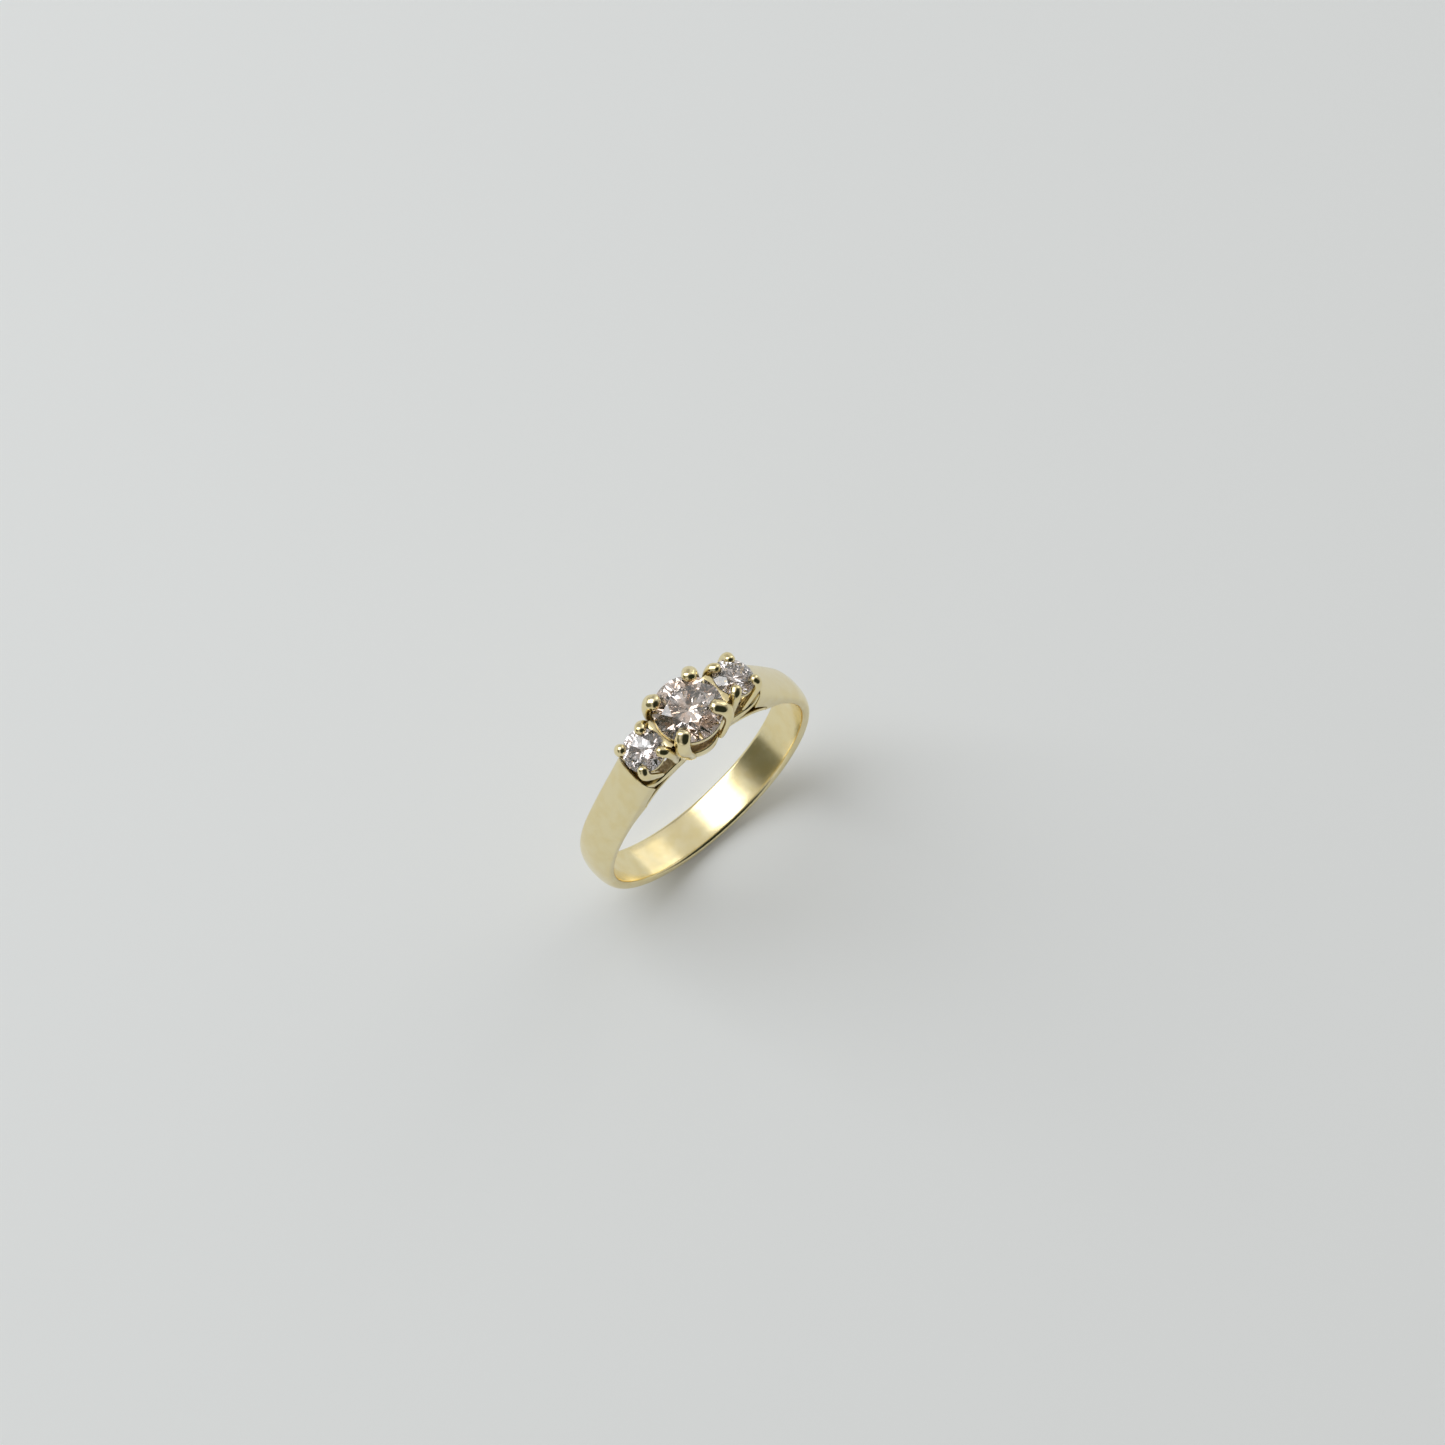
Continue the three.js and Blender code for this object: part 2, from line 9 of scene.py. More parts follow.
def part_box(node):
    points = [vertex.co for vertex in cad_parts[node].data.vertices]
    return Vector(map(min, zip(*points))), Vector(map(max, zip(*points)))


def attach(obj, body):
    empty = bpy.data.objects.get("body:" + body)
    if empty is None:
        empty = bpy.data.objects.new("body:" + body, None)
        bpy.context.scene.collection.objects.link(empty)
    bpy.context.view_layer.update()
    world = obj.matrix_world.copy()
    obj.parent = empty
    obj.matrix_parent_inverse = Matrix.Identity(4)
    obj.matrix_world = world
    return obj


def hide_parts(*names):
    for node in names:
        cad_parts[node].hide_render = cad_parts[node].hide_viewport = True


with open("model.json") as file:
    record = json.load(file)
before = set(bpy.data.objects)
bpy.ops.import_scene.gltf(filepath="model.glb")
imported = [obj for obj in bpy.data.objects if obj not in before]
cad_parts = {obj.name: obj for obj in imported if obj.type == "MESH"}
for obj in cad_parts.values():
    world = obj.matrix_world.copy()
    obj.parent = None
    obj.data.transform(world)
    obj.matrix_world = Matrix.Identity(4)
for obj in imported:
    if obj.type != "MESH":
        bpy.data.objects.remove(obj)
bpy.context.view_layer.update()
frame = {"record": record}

MM = 0.001

MOUNTS = {mount["name"]: mount for mount in frame["record"]["mounts"]}
CENTRE = Vector(MOUNTS["finger_hole"]["pos_m"]) / MM

# Edges sharper than these angles are shaded sharp
SHARP_EDGE = 35.0
BAND_SHARP_EDGE = 40.0
FACET_SHARP_EDGE = 3.5

# Band. Its angles, and those of the under-rail and gallery, are measured from the ring's top.
FINGER_RADIUS = 8.4
CROWN_RADIUS = CENTRE.z
RIM_THICKNESS = 0.46
BAND_WIDTH = 2.93
SHOULDER_WIDTH = 3.1
BAND_DOME_POWER = 2.0  # the dome's outline is an ellipse at the bottom and squarer at the shoulders
SHOULDER_DOME_POWER = 3.0
INNER_EDGE = (0.25, 0.18)  # width and height of the rounded inner edge
SEAT_EDGE = 0.08  # both, where the band meets the under-rail
SHOULDER_END = 27.5
SHOULDER_TOP_RADIUS = 11.4
SHOULDER_RIM_RADIUS = 9.8
SHOULDER_UNDERSIDE_RADIUS = 9.4
# Rounded edge round each shoulder's end: angle past the end, and inset
SHOULDER_LIP = ((0.04, 0.09), (0.01, 0.07), (0.0, 0.05), (0.02, 0.03), (0.1, 0.01), (0.25, 0.0))
RAIL_SEAT = 38.0
SEAT_STEP = 0.1  # angle taken by the step from the shoulder's inside down to the finger hole
SEAT_BLEND = 12.0  # angle over which the inner edges soften below the rail's seat
BAND_STEPS = 220
SHOULDER_STEPS = 13
DOME_STEPS = 44
INNER_STEPS = 6  # along each inner edge and the flat between them

# Under-rail
RAIL_THICKNESS = 0.28
RAIL_HALF_WIDTH = 1.35
RAIL_END_HALF_WIDTH = 1.52
RAIL_FLARE_POWER = 4
RAIL_ROUNDING = 0.09
RAIL_END_GAP = 0.05  # angle

# Gallery
GALLERY_TOP = 9.55
GALLERY_END_TOP = 10.7  # its ends turn up against the shoulders
GALLERY_END_POWER = 16
GALLERY_END_GAP = 0.15  # angle
GALLERY_LIFT = 20.0  # angle from which the underside rises to the shoulders'
GALLERY_RAIL_GAP = 0.005
GALLERY_HALF_WIDTH = 1.45
GALLERY_BULGE = 2.05  # radius of its round middle
GALLERY_BULGE_BLEND = 0.18  # softens the corner between the bulge and the straight sides
GALLERY_UNDER_TAPER = 0.05  # its sides are widest half-way up
GALLERY_TOP_TAPER = 0.04
GALLERY_ROUNDING = 0.13
CHANNEL_RIM = 0.2  # wall left on each side of the channel in the gallery's top
CHANNEL_FLOOR = 9.2
CHANNEL_END = 23.0
CHANNEL_END_RISE = 0.2
CHANNEL_END_POWER = 8
CHANNEL_TAPER = 0.05
CHANNEL_HEADROOM = 1.0  # of its cutter, above the gallery's ends
CHANNEL_ROUNDING = 0.1
# The cast material lines the gallery's channel and is darkened all over with painted shade
CAST_LIFT = 0.1  # the cast material starts this far above the under-rail
CAST_DROP = 0.02  # and ends this far below the gallery's top
CAST_MARGIN = 0.01  # and reaches this far past the channel's walls
STRIP_STEPS = 96

# Holes under the stones: radii
SIDE_HOLE = 0.5
CENTRE_HOLE = 1.25
HOLE_FLARE = 0.12  # extra at the top of the gallery's holes
SIDE_RAIL_HOLE = 0.4
CENTRE_RAIL_HOLE = 0.9
HOLE_DEPTH = 5.0
HOLE_STEPS = 64

# Stones
SIDE_TILT = 24.0
STONES = {"centre": 0.0, "left": -SIDE_TILT, "right": SIDE_TILT}
STONE_TRIM = 0.999  # keeps each stone inside its CAD box

# Round brilliant, as fractions of the girdle radius
TABLE = 0.57
CROWN_HEIGHT = 0.32
STAR_RADIUS = 0.79
GIRDLE = 0.03
PAVILION = 0.87
LOWER_HALF_RADIUS = 0.22
GIRDLE_STEPS = 144
GIRDLE_LEAN = 0.05  # a girdle face's normal has less than this of the axis's direction
ROUGH_SPARE = 0.02  # left on the uncut stone above the table and below the culet
CUT_TOLERANCE = 1e-6
WELD_DISTANCE = 1e-5

# Bearing rails, as fractions of the stone's radius
BEARING_OUTER = 1.0
BEARING_SHOULDER = 0.95
BEARING_INNER = 0.8
BEARING_TOP = -0.07
BEARING_BOTTOM = -0.26
BEARING_GAP = 0.008  # below the pavilion
BEARING_EDGE_DROP = 0.01
BEARING_ROUNDING = 0.03
BEARING_STEPS = 128

# Claws: distance from the stone's axis and height above its girdle, from foot to tip
CENTRE_ROUTE = ((1.95, -3.62), (2.36, -2.0), (2.64, -0.8), (2.62, -0.05), (2.44, 0.4), (2.12, 0.58))
INNER_ROUTE = ((1.3, -3.1), (1.5, -1.8), (1.66, -0.8), (1.68, -0.05), (1.56, 0.26), (1.34, 0.39))
OUTER_ROUTE = ((1.3, -2.65), (1.5, -1.6), (1.64, -0.7), (1.68, -0.05), (1.56, 0.26), (1.34, 0.39))
CENTRE_CLAW = {"half_width": 0.51, "half_depth": 0.41, "route": CENTRE_ROUTE}
INNER_CLAW = {"half_width": 0.375, "half_depth": 0.325, "route": INNER_ROUTE}
OUTER_CLAW = {"half_width": 0.375, "half_depth": 0.325, "route": OUTER_ROUTE}
FOOT_WIDTH = 1.75  # of the foot, over the leg's
FOOT_DEPTH = 0.75  # likewise
FOOT_POWER = 3.0
FOOT_ROUNDING = 0.14  # share of the claw's length over which its foot is rounded off
FOOT_END = 0.3  # size of the foot's very end, over the foot's
SEAT_GAP = 0.01  # between a claw or saddle and a stone
CLAW_SIDES = 28
CLAW_STEPS = 36
CLAW_TIP_STEPS = 9
CLAW_TIP_TURN = 86.0  # of the quarter turn that would close the round tip
CURVE_STEP = 0.01  # share of the claw's length over which its direction is measured
LEAN_POWER = 3
SHORTEST_SPAN = 1e-4  # between two points of a claw's route

# The claws were bent by hand: angle from the row of stones, extra reach over the stone, relative size
CLAW_BENDS = {
    "centre_claw_front_left": (41.0, 0.0, 1.0),
    "centre_claw_front_right": (43.5, 0.3, 1.0),
    "centre_claw_back_left": (48.0, -0.12, 1.12),
    "centre_claw_back_right": (47.0, 0.0, 1.03),
    "left_claw_back_inner": (50.0, 0.0, 1.08),
    "left_claw_back_outer": (46.0, -0.08, 1.08),
    "right_claw_back_outer": (66.0, 0.15, 1.0),
}
PLAIN_BEND = (50.0, 0.0, 1.0)

SADDLE_ROUNDING = 0.1
SADDLE_STEPS = 16

# Gold: its colours, then its patterns, whose noise scales are per millimetre
GOLD_LIGHT = (0.89, 0.78, 0.475, 1.0)
GOLD_DEEP = (0.865, 0.735, 0.40, 1.0)
GOLD_WORN = (0.90, 0.81, 0.54, 1.0)
# The last colour is painted shade: the brown of gold lying in shade in recesses
GOLD_PAINTED_SHADE = (0.16, 0.085, 0.03, 1.0)
BRUSHING_STRETCH = (1.2, 45.0, 45.0)  # scales of the polishing lines: along the band, across it, outwards
LONG_SCRATCHES = {"stretch": (0.5, 3.5, 3.5), "turn": 14.0, "width": 0.006}
CROSS_SCRATCHES = {"stretch": (2.6, 0.6, 2.6), "turn": -31.0, "width": 0.005}
SCRATCH_TILTS = (0.3, 0.2)  # radians: about X for each degree of turn, and about Y
RECESS_REACH = 0.7  # distance within which other gold makes a place a recess that takes painted shade
RECESS_SAMPLES = 6
WEAR = 0.25  # largest share of the worn colour
SCRATCH_ROUGHNESS = 0.06  # added where there is a scratch
PAINTED_SHADE_ROUGHNESS = 0.25  # added where the painted shade is full
ROUGHNESS_SPREAD = 0.12  # share by which the roughness varies
FINE_RIPPLE = 0.05  # depth of the small mottling, over the ripple's

# Stones' colours; each stone has a tint and clouds of a deeper one
CHAMPAGNE_TINT = (0.81, 0.73, 0.70, 1.0)
CHAMPAGNE_CLOUD = (0.78, 0.54, 0.40, 1.0)
WHITE_TINT = (0.80, 0.78, 0.80, 1.0)
WHITE_CLOUD = (0.76, 0.63, 0.58, 1.0)
GIRDLE_GRAIN = (0.9, 0.9, 0.9, 1.0)
GIRDLE_GRAIN_DEPTH = 0.004
DIAMOND_IOR = 2.417

# Floor
FLOOR_COLOUR = (0.78, 0.80, 0.805, 1.0)
FLOOR_CLOUDS = 0.97  # their colour, over the floor's
FLOOR_CLOUD_SCALE = 12.0  # per metre
FLOOR_GLOW = 0.1  # light that comes through the cloth, which keeps its shadows pale
FLOOR_GLOW_COLOUR = (1.0, 0.99, 0.97, 1.0)
FLOOR_SIZE = 4.0  # metres
FLOOR_SQUARES = 8

# Room: a pale colour with soft darker clouds all over it
ROOM_LIGHT = (0.72, 0.715, 0.70, 1.0)
ROOM_SHADE = (0.40, 0.395, 0.38, 1.0)
ROOM_CLOUD_SCALE = 1.8
# Dark parts of the room: direction, cosines of the angles where the shade starts and is full, colour
DARK_PLACES = (
    ((0.05, -0.78, 0.62), 0.5, 0.82, (0.025, 0.03, 0.022, 1.0)),
    ((-0.93, 0.3, 0.24), 0.86, 0.97, (0.14, 0.14, 0.10, 1.0)),
)

# Lights, with distances and sizes in metres and power in watts
WINDOW = {
    "direction": (-0.3, 0.55, 0.78), "distance": 0.6, "size": (0.42, 0.6), "power": 1.9,
    "colour": (0.97, 0.985, 1.0),
}
SIDE_CARD = {
    "direction": (0.95, 0.1, 0.35), "distance": 0.7, "size": (0.3, 0.5), "power": 0.5,
    "colour": (1.0, 0.97, 0.93),
}

# Camera
VIEW_AZIMUTH = -35.43
VIEW_ELEVATION = 68.2
VIEW_ROLL = -5.87
VIEW_DISTANCE = 380.0
FIELD_WIDTH = 97.8  # width of the picture at the finger hole's middle
AIM_RIGHT = 1.84  # from the finger hole's middle to the middle of the picture
AIM_UP = 3.82
SENSOR_WIDTH = 36.0


def mix(a, b, t):
    return a + (b - a) * t


def smooth_step(t):
    t = min(1.0, max(0.0, t))
    return t * t * (3 - 2 * t)


def polar(angle, radius, y=0.0):
    """A point at an angle in degrees from the ring's top, turning towards +X."""
    turn = math.radians(angle)
    return CENTRE + Vector((radius * math.sin(turn), y, radius * math.cos(turn)))


# ---- Mesh making ----

def mesh_object(name, bm, sharp=SHARP_EDGE):
    """Object from a bmesh in millimetres, smooth except at edges sharper than an angle in degrees."""
    bmesh.ops.recalc_face_normals(bm, faces=bm.faces[:])
    bmesh.ops.scale(bm, vec=(MM, MM, MM), verts=bm.verts[:])
    mesh = bpy.data.meshes.new(name)
    bm.to_mesh(mesh)
    bm.free()
    mesh.shade_smooth()
    mesh.set_sharp_from_angle(angle=math.radians(sharp))
    piece = bpy.data.objects.new(name, mesh)
    bpy.context.scene.collection.objects.link(piece)
    return piece


def loft(sections):
    """Closed bmesh through rings of points with equal counts, with one face on each end."""
    bm = bmesh.new()
    rings = [[bm.verts.new(point) for point in section] for section in sections]
    count = len(rings[0])
    for lower, upper in zip(rings, rings[1:]):
        for i in range(count):
            j = (i + 1) % count
            bm.faces.new((lower[i], lower[j], upper[j], upper[i]))
    bm.faces.new(rings[0][::-1])
    bm.faces.new(rings[-1])
    return bm


def lathe(profile, steps, place):
    """Closed bmesh of a profile of (radius, height) turned about the Z of a placement matrix."""
    bm = bmesh.new()
    rings = []
    for i in range(steps):
        turn = 2 * math.pi * i / steps
        rings.append([
            bm.verts.new(place @ Vector((r * math.cos(turn), r * math.sin(turn), z))) for r, z in profile
        ])
    count = len(profile)
    for i in range(steps):
        ring, following = rings[i], rings[(i + 1) % steps]
        for k in range(count):
            m = (k + 1) % count
            bm.faces.new((ring[k], following[k], following[m], ring[m]))
    return bm


def carve(piece, cutters):
    """Cuts objects out of a piece and removes them."""
    for cutter in cutters:
        modifier = piece.modifiers.new("cut", "BOOLEAN")
        modifier.operation = "DIFFERENCE"
        modifier.solver = "EXACT"
        modifier.use_self = True
        modifier.object = cutter
    bpy.context.view_layer.update()
    graph = bpy.context.evaluated_depsgraph_get()
    mesh = bpy.data.meshes.new_from_object(piece.evaluated_get(graph))
    piece.modifiers.clear()
    piece.data = mesh
    mesh.shade_smooth()
    mesh.set_sharp_from_angle(angle=math.radians(SHARP_EDGE))
    for cutter in cutters:
        bpy.data.objects.remove(cutter)


def finish_piece(piece, slot, materials, *nodes):
    """Gives a piece its materials, and makes it ride on the ring in place of CAD nodes. slot is not used.
    """
    for material in materials:
        piece.data.materials.append(material)
    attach(piece, "root")
    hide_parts(*nodes)


def rounded(corners, radius, steps=5):
    """Outline of 2-D corner points with each corner rounded by a parabola of about this radius."""
    outline = []
    count = len(corners)
    for i in range(count):
        before, corner, after = (Vector(corners[k % count]) for k in (i - 1, i, i + 1))
        to_before, to_after = (before - corner), (after - corner)
        half_angle = to_before.angle(to_after) / 2
        reach = min(radius / math.tan(half_angle), to_before.length / 2.01, to_after.length / 2.01)
        start = corner + to_before.normalized() * reach
        end = corner + to_after.normalized() * reach
        for step in range(steps + 1):
            t = step / steps
            outline.append(start.lerp(corner, t).lerp(corner.lerp(end, t), t))
    return outline


# ---- Materials ----

def add(tree, kind, inputs=None, **settings):
    """New node with its settings, and its inputs set to a value or linked from a socket."""
    node = tree.nodes.new(kind)
    for key, value in settings.items():
        setattr(node, key, value)
    for key, value in (inputs or {}).items():
        if isinstance(value, bpy.types.NodeSocket):
            tree.links.new(value, node.inputs[key])
        else:
            node.inputs[key].default_value = value
    return node


def math_node(tree, operation, a, b=0.0, clamp=False):
    return add(tree, "ShaderNodeMath", {0: a, 1: b}, operation=operation, use_clamp=clamp).outputs[0]


def mix_colour(tree, factor, a, b):
    node = add(tree, "ShaderNodeMix", data_type="RGBA")
    for socket, value in ((node.inputs[0], factor), (node.inputs[6], a), (node.inputs[7], b)):
        if isinstance(value, bpy.types.NodeSocket):
            tree.links.new(value, socket)
        else:
            socket.default_value = value
    return node.outputs[2]


def map_range(tree, value, low, high, to_low=0.0, to_high=1.0):
    inputs = {"Value": value, "From Min": low, "From Max": high, "To Min": to_low, "To Max": to_high}
    return add(tree, "ShaderNodeMapRange", inputs, interpolation_type="SMOOTHSTEP").outputs[0]


def noise(tree, vector, scale, detail=2.0, roughness=0.5):
    inputs = {"Vector": vector, "Scale": scale, "Detail": detail, "Roughness": roughness}
    return add(tree, "ShaderNodeTexNoise", inputs).outputs["Fac"]


def new_material(name):
    material = bpy.data.materials.new(name)
    material.use_nodes = True
    tree = material.node_tree
    tree.nodes.clear()
    shader = add(tree, "ShaderNodeBsdfPrincipled")
    output = add(tree, "ShaderNodeOutputMaterial")
    tree.links.new(shader.outputs[0], output.inputs["Surface"])
    return material, tree, shader


def millimetre_coordinates(tree):
    """Position about the finger's centre in millimetres, and unrolled as (arc, across, radius)."""
    position = add(tree, "ShaderNodeTexCoord").outputs["Object"]
    per_metre = (1 / MM,) * 3
    scaled = add(tree, "ShaderNodeVectorMath", {0: position, 1: per_metre}, operation="MULTIPLY").outputs[0]
    local = add(tree, "ShaderNodeVectorMath", {0: scaled, 1: CENTRE}, operation="SUBTRACT").outputs[0]
    axes = add(tree, "ShaderNodeSeparateXYZ", {0: local})
    x, y, z = axes.outputs
    down = math_node(tree, "MULTIPLY", z, -1.0)
    turn = math_node(tree, "ARCTAN2", x, down)
    arc = math_node(tree, "MULTIPLY", turn, FINGER_RADIUS)
    squares = math_node(tree, "ADD", math_node(tree, "MULTIPLY", x, x), math_node(tree, "MULTIPLY", z, z))
    radius = math_node(tree, "SQRT", squares)
    unrolled = add(tree, "ShaderNodeCombineXYZ", {0: arc, 1: y, 2: radius}).outputs[0]
    return local, unrolled


def hairlines(tree, vector, stretch, turn, width):
    """Thin scratches: the level lines of a stretched noise, broken up by a second noise."""
    rotation = (SCRATCH_TILTS[0] * turn, SCRATCH_TILTS[1], math.radians(turn))
    mapping = {"Vector": vector, "Rotation": rotation, "Scale": stretch}
    turned = add(tree, "ShaderNodeMapping", mapping).outputs[0]
    signed = math_node(tree, "SUBTRACT", noise(tree, turned, scale=1.0, detail=0.0), 0.5)
    level = math_node(tree, "ABSOLUTE", signed)
    line = map_range(tree, level, 0.0, width, to_low=1.0, to_high=0.0)
    patches = map_range(tree, noise(tree, vector, scale=1.7, detail=1.0), 0.5, 0.62)
    return math_node(tree, "MULTIPLY", line, patches)


def gold(name, roughness, brushing, ripple, painted_shade_depth, grain=0.0, least_painted_shade=0.0):
    """Pale yellow gold.

    brushing is the depth of the polishing lines round the ring, ripple that of the uneven surface, and
    grain that of cast texture, all in millimetres. Two settings from 0 to 1 give the brown painted shade:
    its depth in recesses, and the least depth it has anywhere.
    """
    material, tree, shader = new_material(name)
    local, unrolled = millimetre_coordinates(tree)
    stretched = add(tree, "ShaderNodeMapping", {"Vector": unrolled, "Scale": BRUSHING_STRETCH}).outputs[0]
    lines = noise(tree, stretched, scale=1.0, detail=3.0, roughness=0.6)
    waves = noise(tree, local, scale=1.1)
    mottling = noise(tree, local, scale=5.0, detail=4.0, roughness=0.62)
    long_scratches = hairlines(tree, unrolled, **LONG_SCRATCHES)
    cross_scratches = hairlines(tree, unrolled, **CROSS_SCRATCHES)
    scratches = math_node(tree, "MAXIMUM", long_scratches, cross_scratches)

    clean = mix_colour(tree, map_range(tree, waves, 0.35, 0.65), GOLD_LIGHT, GOLD_DEEP)
    worn = mix_colour(tree, math_node(tree, "MULTIPLY", mottling, WEAR), clean, GOLD_WORN)
    # Painted shade: brown laid where other gold is near, as in a recess, with a set share of it at least
    # everywhere, thinned in random blotches
    reach = {"Distance": RECESS_REACH * MM}
    openness = add(tree, "ShaderNodeAmbientOcclusion", reach, samples=RECESS_SAMPLES).outputs["AO"]
    open_air = map_range(tree, openness, 0.15, 0.85)
    painted_shade = math_node(tree, "MULTIPLY", math_node(tree, "SUBTRACT", 1.0, open_air), painted_shade_depth)
    painted_shade = math_node(tree, "MAXIMUM", painted_shade, least_painted_shade)
    blotches = map_range(tree, mottling, 0.3, 0.6, to_low=0.55)
    painted_shade = math_node(tree, "MULTIPLY", painted_shade, blotches, clamp=True)
    colour = mix_colour(tree, painted_shade, worn, GOLD_PAINTED_SHADE)
    tree.links.new(colour, shader.inputs["Base Color"])

    smoothest, roughest = (roughness * (1 + sign * ROUGHNESS_SPREAD) for sign in (-1, 1))
    surface = map_range(tree, mottling, 0.3, 0.7, smoothest, roughest)
    surface = math_node(tree, "ADD", surface, math_node(tree, "MULTIPLY", scratches, SCRATCH_ROUGHNESS))
    surface = math_node(tree, "ADD", surface, math_node(tree, "MULTIPLY", painted_shade, PAINTED_SHADE_ROUGHNESS), clamp=True)
    tree.links.new(surface, shader.inputs["Roughness"])
    shader.inputs["Metallic"].default_value = 1.0

    height = math_node(tree, "MULTIPLY", lines, brushing)
    height = math_node(tree, "ADD", height, math_node(tree, "MULTIPLY", waves, ripple))
    fine_ripple = ripple * FINE_RIPPLE + grain
    height = math_node(tree, "ADD", height, math_node(tree, "MULTIPLY", mottling, fine_ripple))
    height = math_node(tree, "SUBTRACT", height, math_node(tree, "MULTIPLY", scratches, brushing))
    bump = add(tree, "ShaderNodeBump", {"Height": height, "Distance": MM, "Strength": 1.0})
    tree.links.new(bump.outputs[0], shader.inputs["Normal"])
    return material


def diamond(name, tint, cloud):
    """Polished stone with a body tint and a faint cloud of deeper tint inside it."""
    material, tree, shader = new_material(name)
    local, _ = millimetre_coordinates(tree)
    clouds = map_range(tree, noise(tree, local, scale=1.1, detail=1.0), 0.44, 0.58)
    tree.links.new(mix_colour(tree, clouds, tint, cloud), shader.inputs["Base Color"])
    shader.inputs["Roughness"].default_value = 0.0
    shader.inputs["IOR"].default_value = DIAMOND_IOR
    shader.inputs["Transmission Weight"].default_value = 1.0
    return material


def frosted_girdle(name, tint):
    """The ground edge of a stone: a fine grain and a satin surface."""
    material, tree, shader = new_material(name)
    local, _ = millimetre_coordinates(tree)
    grains = noise(tree, local, scale=30.0, detail=3.0)
    satin = map_range(tree, grains, 0.3, 0.7, to_low=0.28, to_high=0.5)
    tree.links.new(satin, shader.inputs["Roughness"])
    tree.links.new(mix_colour(tree, grains, tint, GIRDLE_GRAIN), shader.inputs["Base Color"])
    shader.inputs["IOR"].default_value = DIAMOND_IOR
    shader.inputs["Transmission Weight"].default_value = 1.0
    depth = GIRDLE_GRAIN_DEPTH * MM
    bump = add(tree, "ShaderNodeBump", {"Height": grains, "Distance": depth, "Strength": 1.0})
    tree.links.new(bump.outputs[0], shader.inputs["Normal"])
    return material


SATIN_GOLD = gold("satin_gold", roughness=0.2, brushing=0.0004, ripple=0.003, painted_shade_depth=0.4)
BRIGHT_GOLD = gold("bright_gold", roughness=0.1, brushing=0.0002, ripple=0.004, painted_shade_depth=0.8)
# Cast gold for the gallery's channel: darkened all over with painted shade, as it lies under the stones
CAST_GOLD_IN_PAINTED_SHADE = gold(
    "cast_gold_in_painted_shade", roughness=0.3, brushing=0.0003, ripple=0.005, painted_shade_depth=1.0, grain=0.02, least_painted_shade=0.75)
STONE_LOOKS = {
    "centre": (diamond("champagne_diamond", CHAMPAGNE_TINT, CHAMPAGNE_CLOUD),
               frosted_girdle("champagne_girdle", CHAMPAGNE_TINT)),
    "left": (diamond("left_white_diamond", WHITE_TINT, WHITE_CLOUD),
             frosted_girdle("left_white_girdle", WHITE_TINT)),
    "right": (diamond("right_white_diamond", WHITE_TINT, WHITE_CLOUD),
              frosted_girdle("right_white_girdle", WHITE_TINT)),
}


# ---- Band ----

def band_section(angle, inset=0.0):
    """Cross-section of the band: soft inner edges, flat rims and a domed outside."""
    from_top = abs(angle)
    rise = math.degrees(math.acos(CROWN_RADIUS / SHOULDER_TOP_RADIUS))
    rising = max(0.0, SHOULDER_END + rise - from_top)
    crown = CROWN_RADIUS / math.cos(math.radians(rising))
    t = rising / rise
    rim = mix(FINGER_RADIUS + RIM_THICKNESS, SHOULDER_RIM_RADIUS, t * t)
    power = mix(BAND_DOME_POWER, SHOULDER_DOME_POWER, t)
    half = mix(BAND_WIDTH, SHOULDER_WIDTH, (1 + math.cos(math.radians(angle))) / 2) / 2
    inner = FINGER_RADIUS
    softness = smooth_step((from_top - RAIL_SEAT) / SEAT_BLEND)
    edge_width, edge_height = (mix(SEAT_EDGE, size, softness) for size in INNER_EDGE)
    if from_top < RAIL_SEAT:
        lift = (RAIL_SEAT - from_top) / (RAIL_SEAT - SHOULDER_END)
        inner = mix(FINGER_RADIUS + RAIL_THICKNESS, SHOULDER_UNDERSIDE_RADIUS, lift)
    outline = []
    for i in range(INNER_STEPS + 1):
        turn = i / INNER_STEPS * math.pi / 2
        edge = inner + edge_height * (1 - math.sin(turn))
        outline.append((edge, -half + edge_width * (1 - math.cos(turn))))
    flat = half - edge_width
    outline += [(inner, mix(-flat, flat, i / INNER_STEPS)) for i in range(1, INNER_STEPS)]
    outline += [(r, -y) for r, y in reversed(outline[:INNER_STEPS + 1])]
    for i in range(DOME_STEPS + 1):
        turn = math.pi * i / DOME_STEPS
        across = math.copysign(abs(math.cos(turn)) ** (2 / power), math.cos(turn))
        outline.append((mix(rim, crown, math.sin(turn) ** (2 / power)), half * across))
    if inset:
        middle = (inner + crown) / 2
        depth = (crown - inner) / 2
        shrink_depth = 1 - inset / depth
        shrink_width = 1 - inset / half
        outline = [(middle + (r - middle) * shrink_depth, y * shrink_width) for r, y in outline]
    return [polar(angle, r, y) for r, y in outline]


def make_shank():
    """The band from shoulder to shoulder; each end face lies a little inside a rounded edge."""
    start = [(SHOULDER_END + turn, inset) for turn, inset in SHOULDER_LIP]
    first = start[-1][0]
    for i in range(1, SHOULDER_STEPS + 1):
        start.append((mix(first, RAIL_SEAT - SEAT_STEP, i / SHOULDER_STEPS), 0.0))
    middle = [(mix(RAIL_SEAT, 360 - RAIL_SEAT, i / BAND_STEPS), 0.0) for i in range(BAND_STEPS + 1)]
    stations = start + middle + [(360 - angle, inset) for angle, inset in reversed(start)]
    sections = [band_section(angle if angle <= 180 else angle - 360, inset) for angle, inset in stations]
    piece = mesh_object("shank_band", loft(sections), BAND_SHARP_EDGE)
    finish_piece(piece, "gold", [SATIN_GOLD], "shank")


# ---- Under-rail and gallery ----

